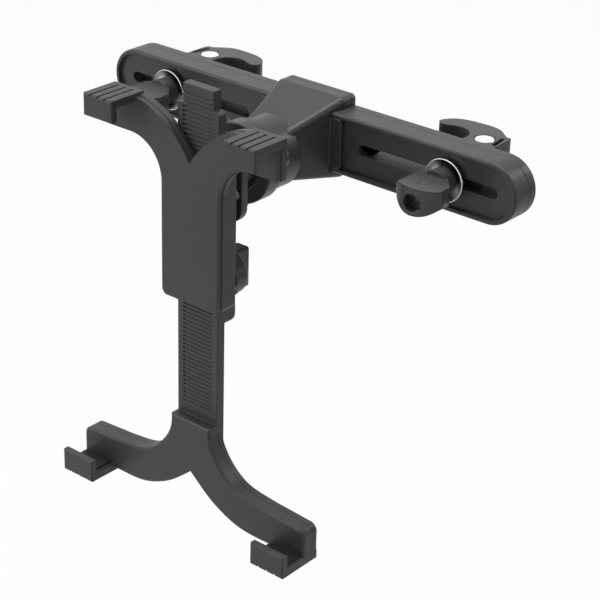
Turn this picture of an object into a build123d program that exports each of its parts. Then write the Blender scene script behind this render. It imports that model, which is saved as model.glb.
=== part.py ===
from build123d import *
import math
import os

# Headrest tablet mount. Millimetres, +X to the right along the bar, +Y back to the seat, +Z up.
# The origin is the middle of the bar's rear face.

# Bar
BAR_LENGTH = 245.0
BAR_HEIGHT = 29.5
BAR_DEPTH = 16.4
BAR_COVER_DEPTH = 5.6
BAR_WALL = 2.4
BAR_RIM = 2.2
BAR_RECESS = 2.0
BAR_FLOOR = 3.0
BAR_EDGE_ROUND = 1.2
SEAM = 0.25
SLOT_INNER = 33.6
SLOT_END_MARGIN = 11.0
SLOT_HEIGHT = 5.4
RAIL_THICKNESS = 1.8
RAIL_INSET = 6.0
BAR_SCREW_END_MARGIN = 6.3
BAR_SCREW_X_MID = 29.8
BAR_SCREW_Z_MID = 7.2

# Screws of the closed housings
SCREW_R = 1.3
SCREW_HEAD_R = 2.4
SCREW_HEAD_DEPTH = 1.8
SCREW_LENGTH = 9.0
SCREW_CLEARANCE = 0.1
BOSS_WALL = 1.7

# Bracket housing
BRACKET_HALF_WIDTH = 20.2
BRACKET_HALF_HEIGHT = 20.0
BRACKET_STRAIGHT = 8.8
BRACKET_COVER_DEPTH = 4.0
BRACKET_SIDE_ROUND = 2.6
NOSE_END_Y = -44.4
NOSE_END_HALF_WIDTH = 12.1
NOSE_END_TOP = 8.8
NOSE_END_BOTTOM = -14.0
BOSS_R = 17.5
BOSS_END_Y = -51.9
BOSS_ROOT = 8.0
FLANGE_HALF_WIDTH = 24.8
FLANGE_GAP = 0.15
BRACKET_SCREW_X = 14.0

# Ball joint
BALL_Y = -54.4
BALL_Z = -3.0
BALL_R = 11.0
LINER_R = 14.0
LINER_GAP = 0.05
LINER_FRONT = 3.5
LINER_REAR = 5.5
SPIGOT_R = 16.0
NUT_R = 19.4
NUT_GRIP_R = 25.5
NUT_GRIP_WIDTH = 9.0
NUT_GRIP_COUNT = 3
NUT_GRIP_START = -19.0
NUT_GRIP_LENGTH = 5.0
NUT_LENGTH = 8.4
NUT_LIP = 2.5
NUT_MOUTH_R = 12.5
THREAD_GAP = 0.15
NECK_R = 5.0
PLATE_REAR_Y = -71.9
PLATE_THICKNESS = 4.6
PLATE_HALF_WIDTH = 17.0
PLATE_TOP = 17.0
PLATE_BOTTOM = -24.0
PLATE_CORNER = 8.0
PLATE_SCREW_X = 11.0
PLATE_SCREW_Z = 14.0

# Post clamps
CLAMP_X = 84.5
POST_R = 7.0
HOOK_HALF_HEIGHT = 11.3
HOOK_INNER_X = 77.5
HOOK_OUTER_X = 93.9
HOOK_CAVITY_R = 9.0
HOOK_CAVITY_X = 68.1
HOOK_CAVITY_Y = 9.1
HOOK_CAVITY_ARC = 124.0
HOOK_DEPTH = 28.5
HOOK_TIP_X = 56.0
HOOK_GAP = 0.3
HOOK_TONGUE_DEPTH = 2.0
HOOK_SLIT_WIDTH = 2.0
HOOK_SLIT_LENGTH = 11.0
HOOK_SLIT_DEPTH = 9.0
BARREL_R = 4.76
BARREL_Y = 13.2
BOLT_R = 2.4
BOLT_GAP = 0.3
BOLT_THREAD_GAP = 0.08
BOLT_HEAD_R = 4.2
BOLT_HEAD_LENGTH = 3.0
CUP_RIM_R = 10.3
CUP_HUB_R = 6.6
CUP_DEPTH = 3.5
CUP_SEAT_R = 7.4
CUP_FACE = 2.0
CUP_RIM_WALL = 0.9
KNOB_HUB_R = 10.0
KNOB_TOP_Z = 4.0
KNOB_BOTTOM_Z = -9.3
KNOB_WING = 17.0
KNOB_FRONT_Y = -41.9
KNOB_REAR_Y = -20.4
KNOB_BORE_R = 4.8
KNOB_BORE_DEPTH = 9.0

# Holder
HOLDER_FRONT_Y = -92.6
HOLDER_PART_Y = -85.9
HOLDER_REAR_Y = -77.8
HOLDER_HALF_WIDTH = 17.6
HOLDER_BOTTOM = -63.3
HOLDER_PLATE = 3.2
ARM_DEPTH = 5.7
ARM_RISE = 22.4
ARM_END_X = 51.05
ARM_TOP = 30.7
ARM_UNDER = 11.6
ARM_UNDER_R = 18.5
V_Z = 7.0
CAP_INNER_X = 33.2
CAP_FRONT_Y = -107.4
CAP_LIP = 3.3
CAP_LIP_BOTTOM = 20.0
CAP_TOP_PLATE = 3.7
GRIP_RIB_COUNT = 4
GRIP_GROOVE = 1.1
CLAW_ROUND = 0.7
EDGE_GROOVE = 0.5
FRONT_LAYER = 2.7
HOLDER_SCREW_X = 14.4
HOLDER_SCREW_TOP = -9.0
HOLDER_SCREW_BOTTOM = -56.0

# Stem and lower Y
STEM_FACE_Y = -86.9
STEM_REAR_Y = -82.1
STEM_HALF_WIDTH = 12.4
STEM_TOP = 31.5
STEM_GAP = 0.3
STRIP_HALF_WIDTH = 9.1
STRIP_TOP = 40.8
STRIP_RIB_PITCH = 2.15
STRIP_RIB_DEPTH = 0.7
STRIP_RIB_LOW = -119.6
LOW_BLOCK_TOP = -125.2
LOW_FRONT_Y = -92.4
LOW_REAR_Y = -82.6
LOW_V_Z = -153.0
LOW_SHOULDER_X = 42.0
LOW_HEEL_X = 38.4
LOW_BEVEL = 0.9
FOOT_INNER_X = 52.0
FOOT_END_X = 71.8
FOOT_TOP = -155.5
FOOT_BOTTOM = -174.1
FOOT_FLOOR = 4.4
FOOT_LIP_TOP = -162.6
PAD_THICKNESS = 1.2
PAD_INSET = 1.6

# Lock knob and release button
LOCK_X = 4.5
LOCK_Z = -52.0
LOCK_R = 11.0
LOCK_DISC = 9.0
LOCK_GRIP = 8.0
LOCK_GRIP_WIDTH = 8.0
LOCK_GAP = 0.3
LOCK_SHAFT_R = 4.0
BUTTON_HALF_WIDTH = 8.0
BUTTON_BOTTOM = -77.0
BUTTON_TOP = -66.3
BUTTON_REAR_Y = -68.2
BUTTON_STEM_HALF_WIDTH = 4.0
BUTTON_STEM_THICKNESS = 1.9
BUTTON_SLOT_TOP = 6.5
BUTTON_SPRING_LOW = 3.2
BUTTON_RUN = 0.3
SPRING_R = 1.1
SPRING_WIRE_R = 0.2
SPRING_TURNS = 4


def front_plane(y):
    return Plane(origin=(0, y, 0), x_dir=(1, 0, 0), z_dir=(0, -1, 0))


def slab(sketch, y_rear, y_front):
    # A flat outline in X and Z given its depth along Y.
    return extrude(front_plane(y_rear) * sketch, amount=y_rear - y_front)


def block(x0, x1, y0, y1, z0, z1):
    centre = ((x0 + x1) / 2, (y0 + y1) / 2, (z0 + z1) / 2)
    return Pos(*centre) * Box(abs(x1 - x0), abs(y1 - y0), abs(z1 - z0))


def rod(x, z, r, y_rear, y_front):
    return slab(Pos(x, z) * Circle(r), y_rear, y_front)


def mirrored(shape):
    return mirror(shape, about=Plane.YZ)


def joined(parts):
    whole = parts[0]
    for piece in parts[1:]:
        whole = whole + piece
    return whole


def screw(x, z, y_head, direction, length=SCREW_LENGTH):
    # A countersunk screw along Y. The head's flat lies at y_head and the tip points along direction.
    profile = Polyline(
        (0, 0),
        (SCREW_HEAD_R - SCREW_CLEARANCE, 0),
        (SCREW_R, SCREW_HEAD_DEPTH),
        (SCREW_R, length - 1.0),
        (0, length),
        close=True,
    )
    turned = revolve(make_face(profile), axis=Axis.Y)
    if direction < 0:
        turned = Rot(180, 0, 0) * turned
    socket = Rot(90, 0, 0) * extrude(RegularPolygon(1.2, 6), amount=0.9, both=True)
    return Pos(x, y_head, z) * (turned - socket)


def screw_hole(x, z, y_head, direction, length=SCREW_LENGTH):
    profile = Polyline(
        (0, -0.01),
        (SCREW_HEAD_R, -0.01),
        (SCREW_R + SCREW_CLEARANCE, SCREW_HEAD_DEPTH + 0.05),
        (SCREW_R + SCREW_CLEARANCE, length + 0.3),
        (0, length + 0.3),
        close=True,
    )
    turned = revolve(make_face(profile), axis=Axis.Y)
    if direction < 0:
        turned = Rot(180, 0, 0) * turned
    return Pos(x, y_head, z) * turned


# Places shared by several pieces
BAR_FACE_Y = -BAR_DEPTH
BAR_FLOOR_Y = BAR_FACE_Y + BAR_RECESS
BAR_INSIDE_Y = BAR_FLOOR_Y + BAR_FLOOR
BAR_PART_Y = -BAR_COVER_DEPTH
SLOT_OUTER = BAR_LENGTH / 2 - SLOT_END_MARGIN
SLOT_MIDDLE = (SLOT_INNER + SLOT_OUTER) / 2
BAR_SCREW_X_END = BAR_LENGTH / 2 - BAR_SCREW_END_MARGIN
SLOT_LENGTH = SLOT_OUTER - SLOT_INNER
BAR_SCREW_PLACES = [
    (-BAR_SCREW_X_END, 0),
    (BAR_SCREW_X_END, 0),
    (-BAR_SCREW_X_MID, BAR_SCREW_Z_MID),
    (BAR_SCREW_X_MID, BAR_SCREW_Z_MID),
    (-BAR_SCREW_X_MID, -BAR_SCREW_Z_MID),
    (BAR_SCREW_X_MID, -BAR_SCREW_Z_MID),
]
BRACKET_SCREW_Z = (BAR_HEIGHT / 2 + BRACKET_HALF_HEIGHT) / 2
BRACKET_SCREW_PLACES = [(sx * BRACKET_SCREW_X, sz * BRACKET_SCREW_Z) for sx in (-1, 1) for sz in (-1, 1)]
NUT_REAR_Y = BOSS_END_Y - THREAD_GAP
NUT_FRONT_Y = NUT_REAR_Y - NUT_LENGTH
PLATE_FRONT_Y = PLATE_REAR_Y - PLATE_THICKNESS
PLATE_SCREW_PLACES = [(sx * PLATE_SCREW_X, BALL_Z + sz * PLATE_SCREW_Z) for sx in (-1, 1) for sz in (-1, 1)]
BUTTON_SLOT_Y = (HOLDER_REAR_Y + STEM_REAR_Y + STEM_GAP) / 2
HOLDER_SCREW_PLACES = [
    (sx * HOLDER_SCREW_X, z) for sx in (-1, 1) for z in (HOLDER_SCREW_TOP, HOLDER_SCREW_BOTTOM)
]


def make_bar_front_shell():
    shell = slab(SlotOverall(BAR_LENGTH, BAR_HEIGHT), BAR_PART_Y, BAR_FACE_Y)
    shell = fillet(shell.faces().sort_by(Axis.Y)[0].edges(), BAR_EDGE_ROUND)
    shell = chamfer(shell.faces().sort_by(Axis.Y)[-1].edges(), SEAM)
    sunk = SlotOverall(BAR_LENGTH - 2 * BAR_RIM, BAR_HEIGHT - 2 * BAR_RIM)
    shell -= slab(sunk, BAR_FLOOR_Y, BAR_FACE_Y - 1)
    inside = SlotOverall(BAR_LENGTH - 2 * BAR_WALL, BAR_HEIGHT - 2 * BAR_WALL)
    hollow = slab(inside, BAR_PART_Y + 1, BAR_INSIDE_Y)
    for x, z in BAR_SCREW_PLACES:
        hollow -= rod(x, z, SCREW_R + BOSS_WALL, BAR_PART_Y + 1, BAR_INSIDE_Y)
    shell -= hollow
    for side in (-1, 1):
        shell -= slab(Pos(side * SLOT_MIDDLE, 0) * SlotOverall(SLOT_LENGTH, SLOT_HEIGHT), 0, BAR_FACE_Y)
    for x, z in BAR_SCREW_PLACES:
        shell -= screw_hole(x, z, 0, -1)
    return shell


def make_bar_rear_cover():
    cover = slab(SlotOverall(BAR_LENGTH, BAR_HEIGHT), 0, BAR_PART_Y)
    cover = fillet(cover.faces().sort_by(Axis.Y)[-1].edges(), BAR_EDGE_ROUND)
    cover = chamfer(cover.faces().sort_by(Axis.Y)[0].edges(), SEAM)
    inside = SlotOverall(BAR_LENGTH - 2 * BAR_WALL, BAR_HEIGHT - 2 * BAR_WALL)
    hollow = slab(inside, BAR_FLOOR - BAR_COVER_DEPTH, BAR_PART_Y - 1)
    hollow -= block(-FLANGE_HALF_WIDTH, FLANGE_HALF_WIDTH, 1, -BAR_DEPTH, -BAR_HEIGHT, BAR_HEIGHT)
    for x, z in BAR_SCREW_PLACES:
        hollow -= rod(x, z, SCREW_R + BOSS_WALL, 1, -BAR_DEPTH)
    cover -= hollow
    rail_length = SLOT_LENGTH - RAIL_INSET
    rail_middle = SLOT_INNER + RAIL_INSET + rail_length / 2
    rail_outline = SlotOverall(rail_length + 2 * RAIL_THICKNESS, SLOT_HEIGHT + 2 * RAIL_THICKNESS)
    for side in (-1, 1):
        cover += slab(Pos(side * rail_middle, 0) * rail_outline, -1, BAR_INSIDE_Y + 0.1)
    for side in (-1, 1):
        slot = Pos(side * SLOT_MIDDLE, 0) * SlotOverall(SLOT_LENGTH, SLOT_HEIGHT)
        cover -= slab(slot, 1, BAR_FACE_Y)
    cover -= block(
        -BRACKET_HALF_WIDTH - FLANGE_GAP,
        BRACKET_HALF_WIDTH + FLANGE_GAP,
        1,
        -BRACKET_COVER_DEPTH,
        -BAR_HEIGHT,
        BAR_HEIGHT,
    )
    for x, z in BAR_SCREW_PLACES:
        cover -= screw_hole(x, z, 0, -1)
        cover -= rod(x, z, SCREW_HEAD_R, 1, -0.005)
    return cover


def make_bracket_housing():
    wide = 2 * BRACKET_HALF_WIDTH
    tall = 2 * BRACKET_HALF_HEIGHT
    straight = slab(
        RectangleRounded(wide, tall, BRACKET_SIDE_ROUND), -BRACKET_COVER_DEPTH, -BRACKET_STRAIGHT
    )
    nose_height = NOSE_END_TOP - NOSE_END_BOTTOM
    nose_middle = (NOSE_END_TOP + NOSE_END_BOTTOM) / 2
    big = front_plane(-BRACKET_STRAIGHT) * RectangleRounded(wide, tall, BRACKET_SIDE_ROUND)
    small = front_plane(NOSE_END_Y) * Pos(0, nose_middle) * RectangleRounded(
        2 * NOSE_END_HALF_WIDTH, nose_height, BRACKET_SIDE_ROUND
    )
    housing = straight + loft([big, small])
    housing -= block(
        -2 * wide, 2 * wide, 1, BAR_FACE_Y, -BAR_HEIGHT / 2 - FLANGE_GAP, BAR_HEIGHT / 2 + FLANGE_GAP
    )
    flange = RectangleRounded(
        2 * FLANGE_HALF_WIDTH, BAR_HEIGHT - 2 * BAR_RIM - 2 * FLANGE_GAP, 1.0
    )
    housing += slab(flange, BAR_FLOOR_Y, BAR_FACE_Y - 0.2)
    spigot_front = NUT_FRONT_Y + NUT_LIP + LINER_GAP + 1.0
    boss_root = NOSE_END_Y + BOSS_ROOT
    housing += rod(0, BALL_Z, BOSS_R, boss_root, BOSS_END_Y)
    housing += rod(0, BALL_Z, SPIGOT_R, BOSS_END_Y + 0.01, spigot_front)
    socket_rear = BALL_Y + LINER_REAR + LINER_GAP
    housing -= rod(0, BALL_Z, LINER_R + LINER_GAP, socket_rear, spigot_front - 1)
    housing -= Pos(0, BALL_Y, BALL_Z) * Sphere(BALL_R + 0.6)
    for x, z in BRACKET_SCREW_PLACES:
        housing -= screw_hole(x, z, 0, -1)
    return housing


def make_bracket_rear_cover():
    outline = RectangleRounded(2 * BRACKET_HALF_WIDTH, 2 * BRACKET_HALF_HEIGHT, BRACKET_SIDE_ROUND)
    cover = slab(outline, 0, -BRACKET_COVER_DEPTH)
    cover = fillet(cover.faces().sort_by(Axis.Y)[-1].edges(), 0.8)
    cover = chamfer(cover.faces().sort_by(Axis.Y)[0].edges(), SEAM)
    for x, z in BRACKET_SCREW_PLACES:
        cover -= screw_hole(x, z, 0, -1)
    return cover


def make_locking_nut():
    nut = rod(0, BALL_Z, NUT_R, NUT_REAR_Y, NUT_FRONT_Y)
    grips = []
    reach = NUT_GRIP_R - NUT_GRIP_WIDTH / 2
    for k in range(NUT_GRIP_COUNT):
        angle = NUT_GRIP_START + 360 / NUT_GRIP_COUNT * k
        bar = Pos(reach / 2, 0) * SlotOverall(reach + NUT_GRIP_WIDTH, NUT_GRIP_WIDTH)
        grips.append(slab(Pos(0, BALL_Z) * Rot(0, 0, -angle) * bar, NUT_REAR_Y - 0.3, NUT_REAR_Y - 0.3 - NUT_GRIP_LENGTH))
    nut = joined([nut] + grips)
    nut -= rod(0, BALL_Z, SPIGOT_R + THREAD_GAP, NUT_REAR_Y + 1, NUT_FRONT_Y + NUT_LIP + 0.5)
    nut -= rod(0, BALL_Z, LINER_R + LINER_GAP, NUT_REAR_Y, NUT_FRONT_Y + NUT_LIP)
    mouth = Cone(BALL_R - 0.2, NUT_MOUTH_R, NUT_LIP + 0.02)
    nut -= Pos(0, NUT_FRONT_Y + NUT_LIP / 2, BALL_Z) * Rot(90, 0, 0) * mouth
    front_edges = nut.faces().sort_by(Axis.Y)[0].edges()
    return chamfer(front_edges, 0.5)


def make_ball_liner():
    rear = BALL_Y + LINER_REAR
    front = NUT_FRONT_Y + NUT_LIP + LINER_GAP
    liner = rod(0, BALL_Z, LINER_R, rear, front)
    liner -= Pos(0, BALL_Y, BALL_Z) * Sphere(BALL_R + LINER_GAP)
    liner -= block(-0.8, 0.8, rear + 1, front - 1, BALL_Z, BALL_Z + LINER_R + 1)
    return liner


def make_ball_stud():
    ball = Pos(0, BALL_Y, BALL_Z) * Sphere(BALL_R)
    neck = rod(0, BALL_Z, NECK_R, BALL_Y - BALL_R + 2, PLATE_FRONT_Y + 1.0)
    collar = rod(0, BALL_Z, NECK_R + 2.0, PLATE_REAR_Y + 1.4, PLATE_REAR_Y + 0.1)
    return ball + neck + collar


def make_back_plate():
    tall = PLATE_TOP - PLATE_BOTTOM
    middle = (PLATE_TOP + PLATE_BOTTOM) / 2
    outline = Pos(0, middle) * RectangleRounded(2 * PLATE_HALF_WIDTH, tall, PLATE_CORNER)
    plate = slab(outline, PLATE_REAR_Y, PLATE_FRONT_Y)
    plate = fillet(plate.faces().sort_by(Axis.Y)[-1].edges(), 1.2)
    plate -= rod(0, BALL_Z, NECK_R + 0.08, PLATE_REAR_Y + 1, PLATE_FRONT_Y + 0.9)
    for x, z in PLATE_SCREW_PLACES:
        plate -= screw_hole(x, z, PLATE_REAR_Y, -1)
        plate -= rod(x, z, SCREW_HEAD_R, PLATE_REAR_Y + 1, PLATE_REAR_Y - 0.005)
    for x, z in PLATE_SCREW_PLACES:
        standoff = HOLDER_REAR_Y - PLATE_FRONT_Y
        washer = rod(x, z, SCREW_R + BOSS_WALL, PLATE_FRONT_Y, PLATE_FRONT_Y + standoff)
        plate += washer - screw_hole(x, z, PLATE_REAR_Y, -1)
    return plate


def make_hook():
    # Plan outline of the right claw, seen from above. It is open towards the middle of the bar.
    foot_y = HOOK_GAP
    slope = math.radians(52)
    cavity_mid = (
        HOOK_CAVITY_X + HOOK_CAVITY_R * math.cos(slope),
        HOOK_CAVITY_Y + HOOK_CAVITY_R * math.sin(slope),
    )
    reach = math.radians(HOOK_CAVITY_ARC)
    cavity_end = (
        HOOK_CAVITY_X + HOOK_CAVITY_R * math.cos(reach),
        HOOK_CAVITY_Y + HOOK_CAVITY_R * math.sin(reach),
    )
    tip_low = (HOOK_TIP_X + 4.0, HOOK_CAVITY_Y + 6.6)
    tip_end = (HOOK_TIP_X + 0.1, HOOK_CAVITY_Y + 8.2)
    tip_high = (HOOK_TIP_X, HOOK_CAVITY_Y + 10.8)
    edges = [
        Line((HOOK_INNER_X - 0.4, foot_y), (HOOK_INNER_X - 0.4, HOOK_CAVITY_Y)),
        ThreePointArc((HOOK_INNER_X - 0.4, HOOK_CAVITY_Y), cavity_mid, cavity_end),
        Line(cavity_end, tip_low),
        ThreePointArc(tip_low, tip_end, tip_high),
        Spline(
            tip_high,
            (HOOK_CAVITY_X - 5.2, HOOK_DEPTH - 1.6),
            (HOOK_CAVITY_X + 4.5, HOOK_DEPTH),
            (CLAMP_X + 0.5, HOOK_DEPTH - 2.0),
            (HOOK_OUTER_X - 2.2, HOOK_DEPTH - 6.8),
            (HOOK_OUTER_X, HOOK_DEPTH - 12.5),
            tangents=((0.35, 0.94), (0, -1)),
        ),
        Line((HOOK_OUTER_X, HOOK_DEPTH - 12.5), (HOOK_OUTER_X, foot_y)),
        Line((HOOK_OUTER_X, foot_y), (HOOK_INNER_X - 0.4, foot_y)),
    ]
    hook = extrude(make_face(Wire(edges)), amount=HOOK_HALF_HEIGHT, both=True)
    tongue_half = SLOT_HEIGHT / 2 - 0.4
    hook += block(
        HOOK_INNER_X + 1,
        HOOK_OUTER_X - 1.5,
        foot_y + 0.5,
        foot_y - HOOK_TONGUE_DEPTH,
        -tongue_half,
        tongue_half,
    )
    slit = Rot(0, 0, 8) * SlotOverall(HOOK_SLIT_LENGTH, HOOK_SLIT_WIDTH, rotation=90)
    for side in (-1, 1):
        top = Pos(HOOK_OUTER_X - 2.4, BARREL_Y + 0.8, side * (HOOK_HALF_HEIGHT - HOOK_SLIT_DEPTH / 2))
        hook -= top * extrude(slit, amount=HOOK_SLIT_DEPTH / 2 + 0.01, both=True)
    hook -= Pos(CLAMP_X, BARREL_Y, 0) * Cylinder(BARREL_R + THREAD_GAP, 3 * HOOK_HALF_HEIGHT)
    hook -= rod(CLAMP_X, 0, BOLT_R + BOLT_GAP, BARREL_Y + BARREL_R + 3.0, -5)
    return hook


def make_barrel_nut():
    nut = Pos(CLAMP_X, BARREL_Y, 0) * Cylinder(BARREL_R, 2 * HOOK_HALF_HEIGHT - 0.2)
    nut = chamfer(nut.edges().filter_by(GeomType.CIRCLE), 0.4)
    return nut - rod(CLAMP_X, 0, BOLT_R + BOLT_THREAD_GAP, BARREL_Y + 10, BARREL_Y - 10)


KNOB_SEAT_Y = KNOB_FRONT_Y + KNOB_BORE_DEPTH


def make_bolt():
    tip = BARREL_Y + BARREL_R + 1.5
    bolt = rod(CLAMP_X, 0, BOLT_R, tip, KNOB_SEAT_Y - 0.5)
    bolt = chamfer(bolt.faces().sort_by(Axis.Y)[-1].edges(), 0.6)
    head = rod(CLAMP_X, 0, BOLT_HEAD_R, KNOB_SEAT_Y, KNOB_SEAT_Y - BOLT_HEAD_LENGTH)
    socket = extrude(
        front_plane(KNOB_SEAT_Y - BOLT_HEAD_LENGTH) * Pos(CLAMP_X, 0) * RegularPolygon(2.3, 6),
        amount=-1.8,
    )
    return bolt + (head - socket)


CUP_REAR_Y = BAR_FLOOR_Y - 0.05


def make_cup_washer():
    # A shallow dish that is open to the front: it stands on a flat seat, and the knob's hub sits in it.
    hole_r = BOLT_R + BOLT_GAP
    rim_low = CUP_DEPTH - CUP_RIM_WALL
    seat_y = CUP_FACE
    profile = [
        Line((hole_r, 0), (CUP_SEAT_R, 0)),
        ThreePointArc((CUP_SEAT_R, 0), (CUP_RIM_R - 1.1, 0.4 * rim_low), (CUP_RIM_R, rim_low)),
        Line((CUP_RIM_R, rim_low), (CUP_RIM_R, CUP_DEPTH - 0.3)),
        Line((CUP_RIM_R, CUP_DEPTH - 0.3), (CUP_RIM_R - 0.3, CUP_DEPTH)),
        ThreePointArc(
            (CUP_RIM_R - 0.3, CUP_DEPTH),
            (CUP_RIM_R - 1.6, seat_y + 0.3 * (CUP_DEPTH - seat_y)),
            (CUP_HUB_R + 0.3, seat_y),
        ),
        Line((CUP_HUB_R + 0.3, seat_y), (hole_r, seat_y)),
        Line((hole_r, seat_y), (hole_r, 0)),
    ]
    dish = revolve(make_face(Wire(profile)), axis=Axis.Y)
    return Pos(CLAMP_X, CUP_REAR_Y, 0) * Rot(180, 0, 0) * dish


def make_wing_knob():
    # The front outline and the plan outline are crossed, as the two faces of the real moulding show.
    front_edges = [
        Line((-KNOB_HUB_R * 0.9165, KNOB_TOP_Z), (KNOB_WING - 1.6, KNOB_TOP_Z)),
        ThreePointArc((KNOB_WING - 1.6, KNOB_TOP_Z), (KNOB_WING - 0.2, KNOB_TOP_Z - 0.8), (KNOB_WING, 2.0)),
        Spline(
            (KNOB_WING, 2.0),
            (KNOB_HUB_R, KNOB_BOTTOM_Z + 2.9),
            (0, KNOB_BOTTOM_Z),
            tangents=((-0.45, -1), (-1, 0)),
        ),
        ThreePointArc(
            (0, KNOB_BOTTOM_Z),
            (-KNOB_HUB_R * 0.76, KNOB_BOTTOM_Z * 0.62),
            (-KNOB_HUB_R * 0.9165, KNOB_TOP_Z),
        ),
    ]
    front = extrude(front_plane(KNOB_REAR_Y + 1) * make_face(Wire(front_edges)), amount=40)
    y_front = KNOB_FRONT_Y
    y_rear = KNOB_REAR_Y
    plan_edges = [
        Line((-KNOB_HUB_R * 0.68, y_front), (KNOB_WING - 4.4, y_front + 0.3)),
        ThreePointArc(
            (KNOB_WING - 4.4, y_front + 0.3), (KNOB_WING - 1.0, y_front + 1.6), (KNOB_WING - 0.6, y_front + 5.2)
        ),
        Spline(
            (KNOB_WING - 0.6, y_front + 5.2),
            (KNOB_HUB_R, y_front + 14.6),
            (0, y_rear),
            tangents=((-0.2, 1), (-1, 0.05)),
        ),
        ThreePointArc((0, y_rear), (-KNOB_HUB_R * 0.9, y_rear - 3.6), (-KNOB_HUB_R, y_rear - 8.0)),
        Line((-KNOB_HUB_R, y_rear - 8.0), (-KNOB_HUB_R, y_front + 3.0)),
        ThreePointArc(
            (-KNOB_HUB_R, y_front + 3.0), (-KNOB_HUB_R * 0.92, y_front + 1.0), (-KNOB_HUB_R * 0.68, y_front)
        ),
    ]
    plan = extrude(Plane.XY * make_face(Wire(plan_edges)), amount=30, both=True)
    knob = front & plan
    hub = rod(0, 0, CUP_HUB_R, CUP_REAR_Y - CUP_FACE - 0.05, y_rear - 4)
    knob += hub
    knob -= rod(0, 0, KNOB_BORE_R, KNOB_SEAT_Y, y_front - 1)
    knob -= rod(0, 0, BOLT_R + 0.03, 0, KNOB_SEAT_Y - 1)
    keyway = Rot(0, 0, 45) * (Pos(KNOB_BORE_R, 0) * Rectangle(2.4, 1.8))
    knob -= slab(keyway, KNOB_FRONT_Y + 5.0, KNOB_FRONT_Y - 1)
    return Pos(CLAMP_X, 0, 0) * knob


def holder_outline(inset=0.0):
    # Right half of the upper Y, mirrored into one face. inset draws the whole edge in by that much.
    wide = HOLDER_HALF_WIDTH - inset
    low = HOLDER_BOTTOM + inset
    end_x = ARM_END_X - inset
    arm_low = ARM_UNDER + inset
    under_r = ARM_UNDER_R + inset
    under_x = HOLDER_HALF_WIDTH + ARM_UNDER_R
    under_z = ARM_UNDER - ARM_UNDER_R
    slope = math.radians(45)
    under_mid = (under_x - under_r * math.cos(slope), under_z + under_r * math.sin(slope))
    edges = [
        Spline(
            (0, V_Z - 1.3 * inset),
            (7.7 + 0.7 * inset, V_Z + 9.7 - 0.7 * inset),
            (15.4 + 0.5 * inset, V_Z + 16.1 - 0.85 * inset),
            (23.2, V_Z + 20.0 - inset),
            (CAP_INNER_X, V_Z + ARM_RISE - inset),
            tangents=((0.62, 1), (1, 0)),
        ),
        Line((CAP_INNER_X, V_Z + ARM_RISE - inset), (end_x, V_Z + ARM_RISE - inset)),
        Line((end_x, V_Z + ARM_RISE - inset), (end_x, arm_low)),
        Line((end_x, arm_low), (under_x, arm_low)),
        ThreePointArc((under_x, arm_low), under_mid, (wide, under_z)),
        Line((wide, under_z), (wide, low + 3)),
        ThreePointArc((wide, low + 3), (wide - 0.88, low + 0.88), (wide - 3, low)),
        Line((wide - 3, low), (0, low)),
        Line((0, low), (0, V_Z - 1.3 * inset)),
    ]
    half = make_face(Wire(edges))
    return half + mirror(half, about=Plane.YZ)


def make_claw(sign=1):
    # Square claw over the end of an upper arm: ribbed top, lip in front, open at both sides.
    top_z = ARM_TOP
    low_z = ARM_TOP - CAP_TOP_PLATE
    claw = block(CAP_INNER_X, ARM_END_X, CAP_FRONT_Y, HOLDER_FRONT_Y + ARM_DEPTH, low_z, top_z)
    claw += block(CAP_INNER_X, ARM_END_X, CAP_FRONT_Y, CAP_FRONT_Y + CAP_LIP, CAP_LIP_BOTTOM, top_z)
    lip_front = claw.faces().sort_by(Axis.Y)[0]
    claw = fillet(lip_front.edges(), CLAW_ROUND)
    width = ARM_END_X - CAP_INNER_X
    pitch = width / GRIP_RIB_COUNT
    for k in range(1, GRIP_RIB_COUNT):
        x = CAP_INNER_X + pitch * k
        claw -= block(
            x - GRIP_GROOVE / 2,
            x + GRIP_GROOVE / 2,
            CAP_FRONT_Y - 1,
            HOLDER_FRONT_Y + ARM_DEPTH - 2.5,
            top_z - GRIP_GROOVE,
            top_z + 1,
        )
    return claw


def make_holder_front_shell():
    outline = holder_outline()
    step_y = HOLDER_FRONT_Y + FRONT_LAYER
    plate = slab(outline, HOLDER_FRONT_Y + ARM_DEPTH, step_y)
    plate += slab(holder_outline(EDGE_GROOVE), step_y, HOLDER_FRONT_Y)
    wide = HOLDER_HALF_WIDTH
    body_cut = block(-wide, wide, step_y, HOLDER_REAR_Y, 2 * HOLDER_BOTTOM, V_Z - 2)
    shell = plate + (slab(outline, HOLDER_PART_Y, HOLDER_FRONT_Y) & body_cut)
    inner = STEM_HALF_WIDTH + STEM_GAP
    shell -= block(
        -inner, inner, HOLDER_PART_Y + 1, STEM_FACE_Y - STEM_GAP, HOLDER_BOTTOM - 1, ARM_TOP + 10
    )
    for x, z in HOLDER_SCREW_PLACES:
        shell -= screw_hole(x, z, HOLDER_REAR_Y, -1, SCREW_LENGTH + 3)
    shell += make_claw()
    shell += mirrored(make_claw())
    return shell


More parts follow.
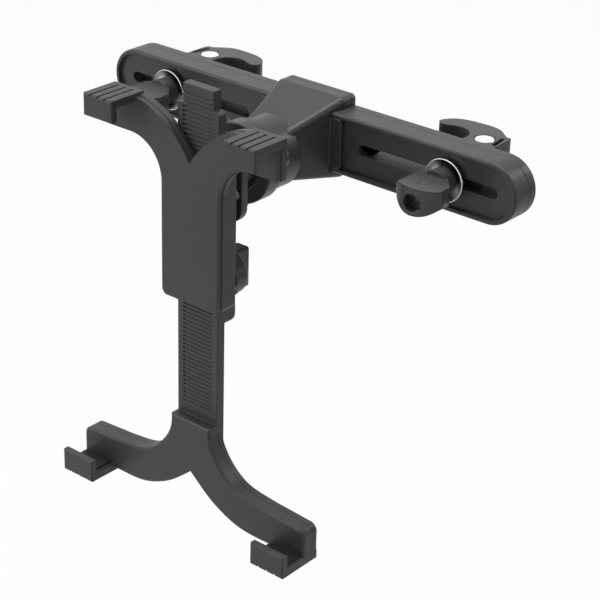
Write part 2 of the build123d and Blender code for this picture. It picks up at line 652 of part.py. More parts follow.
def make_holder_back_cover():
    outline = holder_outline()
    cover = slab(outline, HOLDER_REAR_Y, HOLDER_PART_Y)
    cover &= block(
        -ARM_END_X, ARM_END_X, HOLDER_PART_Y - 1, HOLDER_REAR_Y + 1, 2 * HOLDER_BOTTOM, V_Z - 2
    )
    cover &= block(
        -HOLDER_HALF_WIDTH,
        HOLDER_HALF_WIDTH,
        HOLDER_PART_Y - 1,
        HOLDER_REAR_Y + 1,
        2 * HOLDER_BOTTOM,
        2 * ARM_TOP,
    )
    low_rear = cover.faces().sort_by(Axis.Z)[0].edges().sort_by(Axis.Y)[-1]
    cover = chamfer(low_rear, 3.0)
    inner = STEM_HALF_WIDTH + STEM_GAP
    cover -= block(
        -inner, inner, STEM_REAR_Y + STEM_GAP, HOLDER_PART_Y - 1, HOLDER_BOTTOM - 1, ARM_TOP + 10
    )
    for x, z in HOLDER_SCREW_PLACES:
        cover -= screw_hole(x, z, HOLDER_REAR_Y, -1, SCREW_LENGTH + 3)
        cover -= rod(x, z, SCREW_HEAD_R, HOLDER_REAR_Y + 1, HOLDER_REAR_Y - 0.005)
    for x, z in PLATE_SCREW_PLACES:
        cover -= rod(x, z, SCREW_R + SCREW_CLEARANCE, HOLDER_REAR_Y + 1, STEM_REAR_Y)
    cover -= rod(LOCK_X, LOCK_Z, LOCK_SHAFT_R + 0.08, HOLDER_REAR_Y + 1, STEM_REAR_Y)
    slot_half = BUTTON_STEM_HALF_WIDTH + LOCK_GAP
    slot_deep = BUTTON_STEM_THICKNESS / 2 + BUTTON_RUN
    cover -= block(
        -slot_half,
        slot_half,
        BUTTON_SLOT_Y - slot_deep,
        BUTTON_SLOT_Y + slot_deep,
        HOLDER_BOTTOM - 1,
        HOLDER_BOTTOM + BUTTON_SLOT_TOP,
    )
    return cover


def lower_outline():
    # Right half of the lower Y seen from the front.
    edges = [
        Line((0, LOW_BLOCK_TOP), (STEM_HALF_WIDTH, LOW_BLOCK_TOP)),
        Line((STEM_HALF_WIDTH, LOW_BLOCK_TOP), (STEM_HALF_WIDTH, LOW_BLOCK_TOP - 3.5)),
        Spline(
            (STEM_HALF_WIDTH, LOW_BLOCK_TOP - 3.5),
            (16.0, LOW_V_Z + 13.5),
            (20.5, LOW_V_Z + 8.0),
            (31.0, LOW_V_Z + 0.8),
            (LOW_SHOULDER_X, LOW_V_Z - 1.0),
            (FOOT_INNER_X, LOW_V_Z - 1.5),
            tangents=((0.05, -1), (1, -0.03)),
        ),
        Line((FOOT_INNER_X, LOW_V_Z - 1.5), (FOOT_END_X - 4, FOOT_TOP)),
        ThreePointArc(
            (FOOT_END_X - 4, FOOT_TOP), (FOOT_END_X - 1.2, FOOT_TOP - 1.2), (FOOT_END_X, FOOT_TOP - 4)
        ),
        Line((FOOT_END_X, FOOT_TOP - 4), (FOOT_END_X, FOOT_BOTTOM)),
        Line((FOOT_END_X, FOOT_BOTTOM), (FOOT_INNER_X, FOOT_BOTTOM)),
        Line((FOOT_INNER_X, FOOT_BOTTOM), (FOOT_INNER_X, FOOT_BOTTOM + 2.0)),
        Spline(
            (FOOT_INNER_X, FOOT_BOTTOM + 2.0),
            (LOW_HEEL_X, FOOT_BOTTOM + 2.0),
            (30.0, LOW_V_Z - 18.0),
            (22.0, LOW_V_Z - 15.2),
            (13.5, LOW_V_Z - 10.7),
            (0, LOW_V_Z),
            tangents=((-1, 0), (-0.75, 0.62)),
        ),
        Line((0, LOW_V_Z), (0, LOW_BLOCK_TOP)),
    ]
    half = make_face(Wire(edges))
    return half + mirror(half, about=Plane.YZ)


def make_foot():
    foot = block(
        FOOT_INNER_X, FOOT_END_X, CAP_FRONT_Y, LOW_REAR_Y, FOOT_BOTTOM, FOOT_BOTTOM + FOOT_FLOOR
    )
    foot += block(FOOT_INNER_X, FOOT_END_X, CAP_FRONT_Y, CAP_FRONT_Y + CAP_LIP, FOOT_BOTTOM, FOOT_LIP_TOP)
    foot = fillet(foot.faces().sort_by(Axis.Y)[0].edges(), CLAW_ROUND)
    foot -= block(
        FOOT_INNER_X + PAD_INSET,
        FOOT_END_X - PAD_INSET,
        CAP_FRONT_Y + CAP_LIP,
        LOW_FRONT_Y,
        FOOT_BOTTOM + FOOT_FLOOR - PAD_THICKNESS / 2,
        FOOT_BOTTOM + FOOT_FLOOR + 1,
    )
    width = FOOT_END_X - FOOT_INNER_X
    pitch = width / GRIP_RIB_COUNT
    for k in range(1, GRIP_RIB_COUNT):
        x = FOOT_INNER_X + pitch * k
        foot -= block(
            x - GRIP_GROOVE / 2,
            x + GRIP_GROOVE / 2,
            CAP_FRONT_Y - 1,
            LOW_REAR_Y - 2.5,
            FOOT_BOTTOM - 1,
            FOOT_BOTTOM + GRIP_GROOVE,
        )
    return foot


def make_stem():
    stem = block(
        -STEM_HALF_WIDTH, STEM_HALF_WIDTH, STEM_FACE_Y, STEM_REAR_Y, LOW_BLOCK_TOP - 10, STEM_TOP
    )
    tops = stem.edges().filter_by(Axis.Y).sort_by(Axis.Z)[-2:]
    stem = fillet(tops, 2.0)
    stem += block(
        -STRIP_HALF_WIDTH, STRIP_HALF_WIDTH, STEM_FACE_Y, STEM_REAR_Y, STEM_TOP - 5, STRIP_TOP
    )
    rib_height = STRIP_RIB_PITCH / 2
    count = int((STRIP_TOP - 1.5 - STRIP_RIB_LOW) / STRIP_RIB_PITCH)
    groove = Box(2 * STRIP_HALF_WIDTH, 2 * STRIP_RIB_DEPTH, rib_height)
    places = [(0, STEM_FACE_Y, STRIP_RIB_LOW + STRIP_RIB_PITCH * (k + 0.5)) for k in range(count)]
    stem -= [Pos(*place) * groove for place in places]
    outline = lower_outline()
    lower = slab(outline, LOW_REAR_Y, LOW_FRONT_Y)
    lower = chamfer(lower.faces().sort_by(Axis.Y)[0].edges(), LOW_BEVEL)
    lower = chamfer(lower.faces().sort_by(Axis.Y)[-1].edges(), EDGE_GROOVE)
    stem += lower
    stem += make_foot()
    stem += mirrored(make_foot())
    return stem


def make_foot_pad():
    gap = 0.05
    return block(
        FOOT_INNER_X + PAD_INSET + gap,
        FOOT_END_X - PAD_INSET - gap,
        CAP_FRONT_Y + CAP_LIP + gap,
        LOW_FRONT_Y - gap,
        FOOT_BOTTOM + FOOT_FLOOR - PAD_THICKNESS / 2,
        FOOT_BOTTOM + FOOT_FLOOR + PAD_THICKNESS / 2,
    )


def make_lock_knob():
    base = HOLDER_REAR_Y + LOCK_GAP
    top = base + LOCK_DISC
    knob = rod(LOCK_X, LOCK_Z, LOCK_R, top, base)
    knob = fillet(knob.faces().sort_by(Axis.Y)[-1].edges(), 2.0)
    grip = Pos(LOCK_X, LOCK_Z) * Rectangle(LOCK_GRIP_WIDTH, 2 * LOCK_R - 1.5)
    handle = slab(grip, top + LOCK_GRIP, top - 3)
    handle = fillet(handle.edges().filter_by(Axis.Y), 1.5)
    handle = fillet(handle.faces().sort_by(Axis.Y)[-1].edges(), 1.2)
    knob += handle
    knob += rod(LOCK_X, LOCK_Z, LOCK_SHAFT_R, base + 1, STEM_REAR_Y + LOCK_GAP + 0.4)
    return knob


def make_release_button():
    tab = block(
        -BUTTON_HALF_WIDTH,
        BUTTON_HALF_WIDTH,
        BUTTON_SLOT_Y - BUTTON_STEM_THICKNESS / 2,
        BUTTON_REAR_Y,
        BUTTON_BOTTOM,
        BUTTON_TOP,
    )
    tab = fillet(tab.edges().filter_by(Axis.X).group_by(Axis.Y)[-1], 3.2)
    tab = fillet(tab.edges().filter_by(Axis.Y).group_by(Axis.Z)[0], 2.5)
    tab += block(
        -BUTTON_STEM_HALF_WIDTH,
        BUTTON_STEM_HALF_WIDTH,
        BUTTON_SLOT_Y - BUTTON_STEM_THICKNESS / 2,
        BUTTON_SLOT_Y + BUTTON_STEM_THICKNESS / 2,
        BUTTON_TOP - 1,
        HOLDER_BOTTOM + BUTTON_SPRING_LOW,
    )
    return tab


def make_button_spring():
    height = BUTTON_SLOT_TOP - BUTTON_SPRING_LOW - 2 * SPRING_WIRE_R - 0.1
    spring = Helix(pitch=height / SPRING_TURNS, height=height, radius=SPRING_R - SPRING_WIRE_R)
    wire = Circle(SPRING_WIRE_R)
    path_start = spring @ 0
    tangent = spring % 0
    coil = sweep(Plane(origin=path_start, z_dir=tangent) * wire, path=spring)
    return Pos(0, BUTTON_SLOT_Y, HOLDER_BOTTOM + BUTTON_SPRING_LOW + SPRING_WIRE_R) * coil


def main():
    bolt = make_bolt()
    hook = make_hook()
    barrel = make_barrel_nut()
    cup = make_cup_washer()
    knob = make_wing_knob()
    shift = Pos(-2 * CLAMP_X, 0, 0)
    pad = make_foot_pad()
    nodes = {
        "bar_front_shell": make_bar_front_shell(),
        "bar_rear_cover": make_bar_rear_cover(),
        "bar_screws": Compound([screw(x, z, 0, -1) for x, z in BAR_SCREW_PLACES]),
        "bracket_housing": make_bracket_housing(),
        "bracket_rear_cover": make_bracket_rear_cover(),
        "bracket_screws": Compound([screw(x, z, 0, -1) for x, z in BRACKET_SCREW_PLACES]),
        "locking_nut": make_locking_nut(),
        "ball_liner": make_ball_liner(),
        "ball_stud": make_ball_stud(),
        "back_plate": make_back_plate(),
        "back_plate_screws": Compound([screw(x, z, PLATE_REAR_Y, -1) for x, z in PLATE_SCREW_PLACES]),
        "right_hook": hook,
        "left_hook": mirrored(hook),
        "right_barrel_nut": barrel,
        "left_barrel_nut": mirrored(barrel),
        "right_bolt": bolt,
        "left_bolt": shift * bolt,
        "right_cup_washer": cup,
        "left_cup_washer": shift * cup,
        "right_wing_knob": knob,
        "left_wing_knob": shift * knob,
        "holder_front_shell": make_holder_front_shell(),
        "holder_back_cover": make_holder_back_cover(),
        "holder_screws": Compound(
            [screw(x, z, HOLDER_REAR_Y, -1, SCREW_LENGTH + 3) for x, z in HOLDER_SCREW_PLACES]
        ),
        "stem": make_stem(),
        "right_foot_pad": pad,
        "left_foot_pad": mirrored(pad),
        "lock_knob": make_lock_knob(),
        "release_button": make_release_button(),
        "button_spring": make_button_spring(),
    }
    os.makedirs("parts", exist_ok=True)
    for name, shape in nodes.items():
        export_step(shape, "parts/" + name + ".step")


main()
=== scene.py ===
import math

import bpy
from mathutils import Matrix, Vector


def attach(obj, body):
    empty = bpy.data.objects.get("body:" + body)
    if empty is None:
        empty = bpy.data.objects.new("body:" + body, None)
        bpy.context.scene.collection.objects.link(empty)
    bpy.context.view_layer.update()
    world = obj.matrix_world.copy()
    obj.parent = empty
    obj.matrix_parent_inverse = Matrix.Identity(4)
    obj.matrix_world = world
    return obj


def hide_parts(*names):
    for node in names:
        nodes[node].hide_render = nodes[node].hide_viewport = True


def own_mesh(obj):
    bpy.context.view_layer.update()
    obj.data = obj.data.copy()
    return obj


# Headrest tablet mount: charcoal mouldings, polished cup washers and bright cross nuts.
# Lengths are in metres: x to the right, y from the tablet towards the headrest, z up.

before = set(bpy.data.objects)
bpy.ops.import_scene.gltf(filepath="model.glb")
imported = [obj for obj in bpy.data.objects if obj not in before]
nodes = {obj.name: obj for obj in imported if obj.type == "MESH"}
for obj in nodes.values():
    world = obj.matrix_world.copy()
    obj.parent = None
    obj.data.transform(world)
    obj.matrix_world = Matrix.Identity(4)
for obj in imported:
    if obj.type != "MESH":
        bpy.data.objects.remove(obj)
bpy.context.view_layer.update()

# Colours
CHARCOAL = (0.040, 0.040, 0.041)
CHARCOAL_PALE = (0.058, 0.058, 0.060)
KNOB_GREY = (0.055, 0.055, 0.056)
KNOB_PALE = (0.080, 0.080, 0.082)
RUBBER_BLACK = (0.012, 0.012, 0.012)
BLACKED_STEEL = (0.10, 0.10, 0.10)
POLISHED_STEEL = (0.78, 0.78, 0.79)
# Painted shade of the cup washers, between their painted highlights.
PAINTED_WASHER_SHADE = (0.045, 0.045, 0.047)
CROSS_NUT_WHITE = (0.96, 0.96, 0.96)
SEAT_WHITE = (0.52, 0.52, 0.50)
PARTING_BLACK = (0.004, 0.004, 0.004)
FLOOR_GREY = (0.85, 0.85, 0.85)
WHITE = (1.0, 1.0, 1.0)

# Surface of the mouldings
MOTTLE_SCALE = 38.0
MOTTLE_DEPTH = 0.5
SMEAR_SCALE = 95.0
SMEAR_DULLER = 0.07
SMEAR_GLOSSIER = 0.05
GRAIN_SCALE = 2600.0
GRAIN_DISTANCE = 0.0002
PLASTIC_SPECULAR = 0.30
EDGE_SAMPLES = 6

# Surface of the metals
STAIN_SCALE = 60.0
STAIN_SHARE = 0.9
BRUSHED_SCALE = 900.0
BRUSHED_SPREAD = 0.08
RING_DISTANCE = 0.0001

# Parting line of the lower Y
PARTING_Y = -0.0861
PARTING_TOP_Z = -0.130
PARTING_HALF_WIDTH = 0.00022

# Painted sheen of the cup washers: bright wedges and a bright rim painted into their colour as
# highlight, with painted shade between
SHEEN_ANGLE = math.radians(149)
SHEEN_SHARPNESS = 4.0
PAINTED_SHEEN_NONMETAL = 0.75
PAINTED_RIM_HIGHLIGHT_R = 0.00985

# Wing knobs
DOUBLES_APART = 0.000001
KNOB_X = 0.0845
KNOB_TOP_Z = 0.00399
KNOB_FRONT_Y = -0.04179
KNOB_FACE_SLANT = math.atan2(0.3, 19.4)
PLUG_Y = -0.0390
PLUG_R = 0.0062
PLUG_LENGTH = 0.012
TRIM_WIDTH = 0.06
TOP_TRIM_Y = -0.0365
TOP_TRIM_LENGTH = 0.023
TOP_TRIM_HEIGHT = 0.010
FACE_TRIM_LENGTH = 0.010
FACE_TRIM_HEIGHT = 0.040
BOW_Y = -0.0355
BOW_HALF_X = 0.0124
BOW_HEIGHT = 0.060
REAR_R = 0.0125
REAR_LENGTH = 0.020
REAR_START = 0.0015
EYE_Z = -0.0033
EYE_R = 0.0042
EYE_TOOL_LENGTH = 0.010
NOTCH_R = 0.0010
NOTCH_OFFSET_Z = 0.0012
NOTCH_TOOL_LENGTH = 0.008
PIT_R = 0.00045
PIT_LIFT = 0.00015
# Each pit's x from the knob's axis, and its y.
PIT_PLACES = [
    (-0.0060, -0.0362),
    (-0.0025, -0.0347),
    (0.0010, -0.0342),
    (0.0045, -0.0346),
    (0.0075, -0.0362),
]

# Camera
CAMERA_PLACE = Vector((0.516246, -0.646045, 0.315204))
CAMERA_AZIMUTH = math.radians(39.168)
CAMERA_ELEVATION = math.radians(26.367)
CAMERA_ROLL = math.radians(1.732)
CAMERA_LENS = 110.55
CAMERA_SENSOR = 36.0
CAMERA_NEAR = 0.01

# Floor, world and lights
FLOOR_Z = -0.32
FLOOR_SIDE = 8.0
FLOOR_ROUGHNESS = 0.9
FLOOR_GLOW_SHARE = 0.93
WORLD_STRENGTH = 0.2
BACKDROP_STRENGTH = 1.0
LIGHT_AIM = (0, -0.05, -0.05)
SOFTBOXES = [
    ("top_softbox", (-0.15, 0.1, 1.5), 1.2, 22.0),
    ("front_left_softbox", (-0.9, -1.2, 0.5), 1.0, 11.0),
    ("rear_right_softbox", (0.75, 1.1, 0.9), 0.3, 3.5),
]


def new_material(name):
    material = bpy.data.materials.new(name)
    material.use_nodes = True
    tree = material.node_tree
    return material, tree, tree.nodes["Principled BSDF"]


def object_noise(tree, scale, detail):
    # Mottling that sits on the piece itself, whichever way it is turned.
    place = tree.nodes.new("ShaderNodeTexCoord")
    noise = tree.nodes.new("ShaderNodeTexNoise")
    noise.inputs["Scale"].default_value = scale
    noise.inputs["Detail"].default_value = detail
    tree.links.new(place.outputs["Object"], noise.inputs["Vector"])
    return noise.outputs["Fac"]


def object_coordinate(tree, axis):
    # One coordinate of the piece itself, as a value.
    place = tree.nodes.new("ShaderNodeTexCoord")
    split = tree.nodes.new("ShaderNodeSeparateXYZ")
    tree.links.new(place.outputs["Object"], split.inputs[0])
    return split.outputs[axis]


def ramp_between(tree, source, low, high):
    ramp = tree.nodes.new("ShaderNodeMapRange")
    ramp.inputs["To Min"].default_value = low
    ramp.inputs["To Max"].default_value = high
    tree.links.new(source, ramp.inputs["Value"])
    return ramp.outputs["Result"]


def value_math(tree, operation, *sources):
    # One operation on one or two values, each given as a number or as a socket.
    step = tree.nodes.new("ShaderNodeMath")
    step.operation = operation
    for socket, source in zip(step.inputs, sources):
        if isinstance(source, (int, float)):
            socket.default_value = source
        else:
            tree.links.new(source, socket)
    return step.outputs[0]


def blend_colours(tree, factor, first, second):
    # Two colours mixed, each given as a colour or as a socket.
    mix = tree.nodes.new("ShaderNodeMix")
    mix.data_type = "RGBA"
    tree.links.new(factor, mix.inputs["Factor"])
    for key, source in (("A", first), ("B", second)):
        if isinstance(source, tuple):
            mix.inputs[key].default_value = (*source, 1.0)
        else:
            tree.links.new(source, mix.inputs[key])
    return mix.outputs["Result"]


def blend_shaders(tree, factor, first, second, surface):
    mix = tree.nodes.new("ShaderNodeMixShader")
    for socket, source in zip(mix.inputs, (factor, first, second)):
        tree.links.new(source, socket)
    tree.links.new(mix.outputs[0], surface)


def relief(tree, height, strength, distance):
    bump = tree.nodes.new("ShaderNodeBump")
    bump.inputs["Strength"].default_value = strength
    bump.inputs["Distance"].default_value = distance
    tree.links.new(height, bump.inputs["Height"])
    return bump


def moulded_plastic(name, colour, pale, gloss, grain=0.06, edge=0.0005):
    # Satin moulded plastic: fine spark grain, slight mottling and softened edges.
    material, tree, shader = new_material(name)
    base = shader.inputs["Base Color"]
    base.default_value = (*colour, 1.0)
    if pale != colour:
        mottle = ramp_between(tree, object_noise(tree, MOTTLE_SCALE, 4.0), 0.0, MOTTLE_DEPTH)
        tree.links.new(blend_colours(tree, mottle, colour, pale), base)
    smear = object_noise(tree, SMEAR_SCALE, 2.0)
    roughness = ramp_between(tree, smear, gloss - SMEAR_GLOSSIER, gloss + SMEAR_DULLER)
    tree.links.new(roughness, shader.inputs["Roughness"])
    bump = relief(tree, object_noise(tree, GRAIN_SCALE, 1.0), grain, GRAIN_DISTANCE)
    soft = tree.nodes.new("ShaderNodeBevel")
    soft.samples = EDGE_SAMPLES
    soft.inputs["Radius"].default_value = edge
    tree.links.new(soft.outputs["Normal"], bump.inputs["Normal"])
    tree.links.new(bump.outputs["Normal"], shader.inputs["Normal"])
    shader.inputs["Specular IOR Level"].default_value = PLASTIC_SPECULAR
    return material


def turned_metal(name, colour, roughness, rings=0.0):
    # Metal with faint stains and, where rings is set, the fine lines of turning or polishing.
    material, tree, shader = new_material(name)
    shader.inputs["Metallic"].default_value = 1.0
    stain = ramp_between(tree, object_noise(tree, STAIN_SCALE, 3.0), 0.0, 1.0)
    stained = tuple(STAIN_SHARE * part for part in colour)
    tree.links.new(blend_colours(tree, stain, colour, stained), shader.inputs["Base Color"])
    brushed = object_noise(tree, BRUSHED_SCALE, 2.0)
    dulled = ramp_between(tree, brushed, roughness, roughness + BRUSHED_SPREAD)
    tree.links.new(dulled, shader.inputs["Roughness"])
    if rings:
        bump = relief(tree, brushed, rings, RING_DISTANCE)
        tree.links.new(bump.outputs["Normal"], shader.inputs["Normal"])
    return material


def add_parting_line(material):
    # A fine dark line round the side walls of the lower Y, where its two layers meet.
    tree = material.node_tree
    base = tree.nodes["Principled BSDF"].inputs["Base Color"]
    colour = base.links[0].from_socket
    from_line = value_math(tree, "SUBTRACT", object_coordinate(tree, "Y"), PARTING_Y)
    off = value_math(tree, "ABSOLUTE", from_line)
    near = value_math(tree, "LESS_THAN", off, PARTING_HALF_WIDTH)
    below = value_math(tree, "LESS_THAN", object_coordinate(tree, "Z"), PARTING_TOP_Z)
    mask = value_math(tree, "MULTIPLY", near, below)
    tree.links.new(blend_colours(tree, mask, colour, PARTING_BLACK), base)


def add_painted_sheen(material, middle_x):
    # A painted reflection of a turned dish: two bright wedges across its axis and a bright rim are
    # painted into the base colour as highlight, with painted shade between them.
    tree = material.node_tree
    shader = tree.nodes["Principled BSDF"]
    base = shader.inputs["Base Color"]
    colour = base.links[0].from_socket
    across = value_math(tree, "SUBTRACT", object_coordinate(tree, "X"), middle_x)
    height = object_coordinate(tree, "Z")
    angle = value_math(tree, "ARCTAN2", height, across)
    swing = value_math(tree, "SUBTRACT", angle, SHEEN_ANGLE)
    # The wave swings between -1 and 1, and is lifted to between 0 and 1.
    wave = value_math(tree, "COSINE", value_math(tree, "MULTIPLY", swing, 2.0))
    lifted = value_math(tree, "MULTIPLY", value_math(tree, "ADD", wave, 1.0), 0.5)
    wedge = value_math(tree, "POWER", lifted, SHEEN_SHARPNESS)
    across_squared = value_math(tree, "MULTIPLY", across, across)
    height_squared = value_math(tree, "MULTIPLY", height, height)
    radius = value_math(tree, "SQRT", value_math(tree, "ADD", across_squared, height_squared))
    # Painted highlight round the rim of the dish.
    rim = value_math(tree, "GREATER_THAN", radius, PAINTED_RIM_HIGHLIGHT_R)
    bright = value_math(tree, "MAXIMUM", wedge, rim)
    # Less metal in the painted wedges lets the lamps light their colour, which brightens the painted
    # highlight.
    painted_nonmetal = value_math(tree, "MULTIPLY", wedge, PAINTED_SHEEN_NONMETAL)
    tree.links.new(value_math(tree, "SUBTRACT", 1.0, painted_nonmetal), shader.inputs["Metallic"])
    # The painted highlight takes the steel colour, the rest the painted shade.
    tree.links.new(blend_colours(tree, bright, PAINTED_WASHER_SHADE, colour), base)


def dress(material, *names):
    for name in names:
        piece = nodes[name]
        piece.data.materials.clear()
        piece.data.materials.append(material)


def one_primitive(add, place, turn=(0, 0, 0), stretch=(1, 1, 1), **measures):
    # One primitive with its place, turn and stretch put into its mesh.
    bpy.ops.object.select_all(action="DESELECT")
    add(location=place, rotation=turn, **measures)
    piece = bpy.context.active_object
    piece.scale = stretch
    bpy.ops.object.transform_apply(location=True, rotation=True, scale=True)
    return piece


def block(place, lengths, slant=0.0):
    turn = (0, 0, slant)
    return one_primitive(bpy.ops.mesh.primitive_cube_add, place, turn, lengths, size=1.0)


def rod(place, radius, length, vertices):
    # A round rod along y.
    return one_primitive(
        bpy.ops.mesh.primitive_cylinder_add,
        place,
        (math.pi / 2, 0, 0),
        vertices=vertices,
        radius=radius,
        depth=length,
    )


def merge_doubles(piece):
    # Joins the points that lie on each other, and drops faces with no area.
    bpy.ops.object.select_all(action="DESELECT")
    bpy.context.view_layer.objects.active = piece
    piece.select_set(True)
    bpy.ops.object.mode_set(mode="EDIT")
    bpy.ops.mesh.select_all(action="SELECT")
    bpy.ops.mesh.remove_doubles(threshold=DOUBLES_APART)
    bpy.ops.mesh.dissolve_degenerate(threshold=DOUBLES_APART)
    bpy.ops.object.mode_set(mode="OBJECT")


def carve(piece, tool, operation):
    # Joins the tool to the piece, cuts it out or keeps what both share, and removes the tool.
    bpy.ops.object.select_all(action="DESELECT")
    bpy.context.view_layer.objects.active = piece
    piece.select_set(True)
    step = piece.modifiers.new("carve", "BOOLEAN")
    step.operation = operation
    step.solver = "EXACT"
    step.object = tool
    bpy.ops.object.modifier_apply(modifier=step.name)
    bpy.data.objects.remove(tool, do_unlink=True)


def bowed_form(middle_x):
    # An upright oval column that bows the knob's face, and all that lies behind it.
    column = one_primitive(
        bpy.ops.mesh.primitive_cylinder_add,
        (middle_x, BOW_Y, 0),
        stretch=(BOW_HALF_X, BOW_Y - KNOB_FRONT_Y, 1),
        vertices=128,
        radius=1.0,
        depth=BOW_HEIGHT,
    )
    rear_middle_y = BOW_Y + REAR_START + REAR_LENGTH / 2
    carve(column, rod((middle_x, rear_middle_y, 0), REAR_R, REAR_LENGTH, 96), "UNION")
    return column


def moulded_wing_knob(node, body, middle_x):
    # The wing knob with a closed flat top, a bowed face, a low notched eye and pits in the top.
    name = node + "_moulding"
    knob = bpy.data.objects.new(name, nodes[node].data.copy())
    bpy.context.collection.objects.link(knob)
    merge_doubles(knob)
    carve(knob, rod((middle_x, PLUG_Y, 0), PLUG_R, PLUG_LENGTH, 64), "UNION")
    above = block(
        (middle_x, TOP_TRIM_Y, KNOB_TOP_Z + TOP_TRIM_HEIGHT / 2),
        (TRIM_WIDTH, TOP_TRIM_LENGTH, TOP_TRIM_HEIGHT),
    )
    carve(knob, above, "DIFFERENCE")
    ahead = block(
        (middle_x, KNOB_FRONT_Y - FACE_TRIM_LENGTH / 2, 0),
        (TRIM_WIDTH, FACE_TRIM_LENGTH, FACE_TRIM_HEIGHT),
        KNOB_FACE_SLANT,
    )
    carve(knob, ahead, "DIFFERENCE")
    carve(knob, bowed_form(middle_x), "INTERSECT")
    eye = rod((middle_x, KNOB_FRONT_Y, EYE_Z), EYE_R, EYE_TOOL_LENGTH, 48)
    carve(knob, eye, "DIFFERENCE")
    for side in (-1, 1):
        place = (middle_x + EYE_R, KNOB_FRONT_Y, EYE_Z + side * NOTCH_OFFSET_Z)
        carve(knob, rod(place, NOTCH_R, NOTCH_TOOL_LENGTH, 24), "DIFFERENCE")
    for x, y in PIT_PLACES:
        pit = one_primitive(
            bpy.ops.mesh.primitive_uv_sphere_add,
            (middle_x + x, y, KNOB_TOP_Z + PIT_LIFT),
            segments=16,
            ring_count=10,
            radius=PIT_R,
        )
        carve(knob, pit, "DIFFERENCE")
    merge_doubles(knob)
    knob.data.materials.clear()
    knob.data.materials.append(knob_plastic)
    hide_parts(node)
    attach(knob, body)


def studio_floor():
    bpy.ops.object.select_all(action="DESELECT")
    bpy.ops.mesh.primitive_plane_add(size=FLOOR_SIDE, location=(0, 0, FLOOR_Z))
    floor = bpy.context.active_object
    floor.name = "studio_floor"
    bpy.ops.object.transform_apply(location=True, rotation=True, scale=True)
    material, tree, shader = new_material("studio_white")
    shader.inputs["Base Color"].default_value = (*FLOOR_GREY, 1.0)
    shader.inputs["Roughness"].default_value = FLOOR_ROUGHNESS
    glow = tree.nodes.new("ShaderNodeEmission")
    glow.inputs["Strength"].default_value = 1.0
    path = tree.nodes.new("ShaderNodeLightPath")
    share = value_math(tree, "MULTIPLY", path.outputs["Is Camera Ray"], FLOOR_GLOW_SHARE)
    surface = tree.nodes["Material Output"].inputs["Surface"]
    blend_shaders(tree, share, shader.outputs[0], glow.outputs[0], surface)
    floor.data.materials.append(material)


def studio_world():
    # A dim world for the light, and a white one where the camera or a reflection sees it.
    world = bpy.data.worlds.new("studio_world")
    bpy.context.scene.world = world
    world.use_nodes = True
    tree = world.node_tree
    dim = tree.nodes["Background"]
    backdrop = tree.nodes.new("ShaderNodeBackground")
    for background, strength in ((dim, WORLD_STRENGTH), (backdrop, BACKDROP_STRENGTH)):
        background.inputs["Color"].default_value = (*WHITE, 1.0)
        background.inputs["Strength"].default_value = strength
    path = tree.nodes.new("ShaderNodeLightPath").outputs
    direct = value_math(tree, "MAXIMUM", path["Is Camera Ray"], path["Is Transmission Ray"])
    seen = value_math(tree, "MAXIMUM", path["Is Glossy Ray"], direct)
    surface = tree.nodes["World Output"].inputs["Surface"]
    blend_shaders(tree, seen, dim.outputs[0], backdrop.outputs[0], surface)


def softbox(name, place, side, power):
    lamp = bpy.data.lights.new(name, "AREA")
    lamp.shape = "RECTANGLE"
    lamp.size = side
    lamp.size_y = side
    lamp.energy = power
    holder = bpy.data.objects.new(name, lamp)
    bpy.context.collection.objects.link(holder)
    holder.location = place
    aim = Vector(LIGHT_AIM) - Vector(place)
    holder.rotation_euler = aim.to_track_quat("-Z", "Y").to_euler()


def photo_camera():
    back = Vector(
        (
            math.sin(CAMERA_AZIMUTH) * math.cos(CAMERA_ELEVATION),
            -math.cos(CAMERA_AZIMUTH) * math.cos(CAMERA_ELEVATION),
            math.sin(CAMERA_ELEVATION),
        )
    )
    right = (-back).cross(Vector((0, 0, 1))).normalized()
    up = right.cross(-back)
    cos_roll = math.cos(CAMERA_ROLL)
    sin_roll = math.sin(CAMERA_ROLL)
    side = cos_roll * right + sin_roll * up
    top = -sin_roll * right + cos_roll * up
    turn = Matrix((side, top, back)).transposed().to_4x4()
    data = bpy.data.cameras.new("photo_camera")
    data.sensor_width = CAMERA_SENSOR
    data.lens = CAMERA_LENS
    data.clip_start = CAMERA_NEAR
    camera = bpy.data.objects.new("photo_camera", data)
    bpy.context.collection.objects.link(camera)
    camera.matrix_world = Matrix.Translation(CAMERA_PLACE) @ turn
    bpy.context.scene.camera = camera


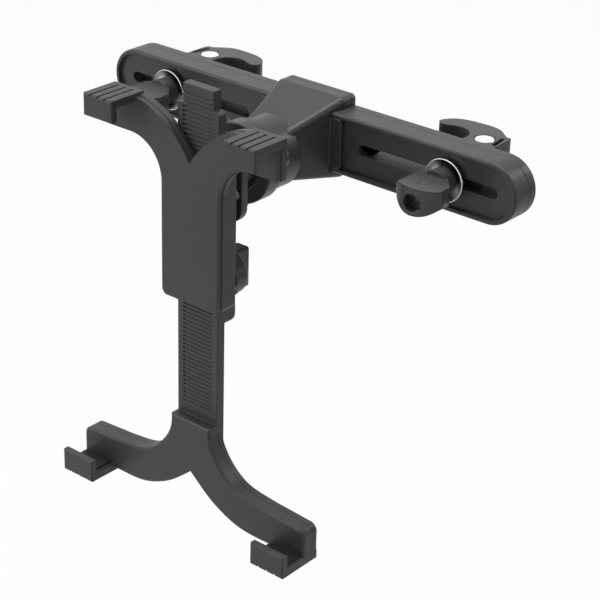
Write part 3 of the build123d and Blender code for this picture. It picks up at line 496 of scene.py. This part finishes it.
shell_plastic = moulded_plastic("charcoal_shell", CHARCOAL, CHARCOAL_PALE, gloss=0.33, edge=0.0012)
bar_plastic = moulded_plastic("charcoal_bar", CHARCOAL, CHARCOAL_PALE, gloss=0.36)
holder_plastic = moulded_plastic("charcoal_holder", CHARCOAL, CHARCOAL_PALE, gloss=0.40, edge=0.0008)
lock_plastic = moulded_plastic("charcoal_lock", CHARCOAL, CHARCOAL_PALE, gloss=0.34)
knob_plastic = moulded_plastic("charcoal_knob", KNOB_GREY, KNOB_PALE, gloss=0.30, edge=0.0007)
rubber = moulded_plastic("black_rubber", RUBBER_BLACK, RUBBER_BLACK, gloss=0.75, grain=0.15, edge=0.0003)
seat_plastic = moulded_plastic("pale_seat_ring", SEAT_WHITE, SEAT_WHITE, gloss=0.4, grain=0.02)
stem_plastic = moulded_plastic("charcoal_stem", CHARCOAL, CHARCOAL_PALE, gloss=0.40, edge=0.0008)
right_cup_steel = turned_metal("turned_cup_steel_right", POLISHED_STEEL, 0.22, rings=0.05)
left_cup_steel = turned_metal("turned_cup_steel_left", POLISHED_STEEL, 0.22, rings=0.05)
nut_steel = turned_metal("bright_cross_nut_steel", CROSS_NUT_WHITE, 0.25)
screw_steel = turned_metal("blacked_screw_steel", BLACKED_STEEL, 0.38, rings=0.05)
add_parting_line(stem_plastic)
# The cup washers get a painted sheen: painted highlights and painted shade in their colour.
add_painted_sheen(right_cup_steel, KNOB_X)
add_painted_sheen(left_cup_steel, -KNOB_X)

dress(bar_plastic, "bar_front_shell", "bar_rear_cover")
dress(shell_plastic, "bracket_housing", "bracket_rear_cover", "locking_nut", "ball_stud")
dress(shell_plastic, "right_hook", "left_hook")
dress(knob_plastic, "right_wing_knob", "left_wing_knob")
dress(lock_plastic, "lock_knob", "release_button")
dress(holder_plastic, "holder_front_shell", "holder_back_cover", "back_plate")
dress(stem_plastic, "stem")
dress(rubber, "right_foot_pad", "left_foot_pad")
dress(seat_plastic, "ball_liner")
dress(right_cup_steel, "right_cup_washer")
dress(left_cup_steel, "left_cup_washer")
dress(nut_steel, "right_barrel_nut", "left_barrel_nut")
dress(screw_steel, "right_bolt", "left_bolt", "bar_screws", "bracket_screws")
dress(screw_steel, "back_plate_screws", "holder_screws", "button_spring")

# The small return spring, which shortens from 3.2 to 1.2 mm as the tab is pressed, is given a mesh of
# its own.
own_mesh(nodes["button_spring"])

moulded_wing_knob("right_wing_knob", "right_knob", KNOB_X)
moulded_wing_knob("left_wing_knob", "left_knob", -KNOB_X)

studio_floor()
studio_world()
for name, place, side, power in SOFTBOXES:
    softbox(name, place, side, power)
photo_camera()
bpy.context.scene.view_settings.view_transform = "Standard"
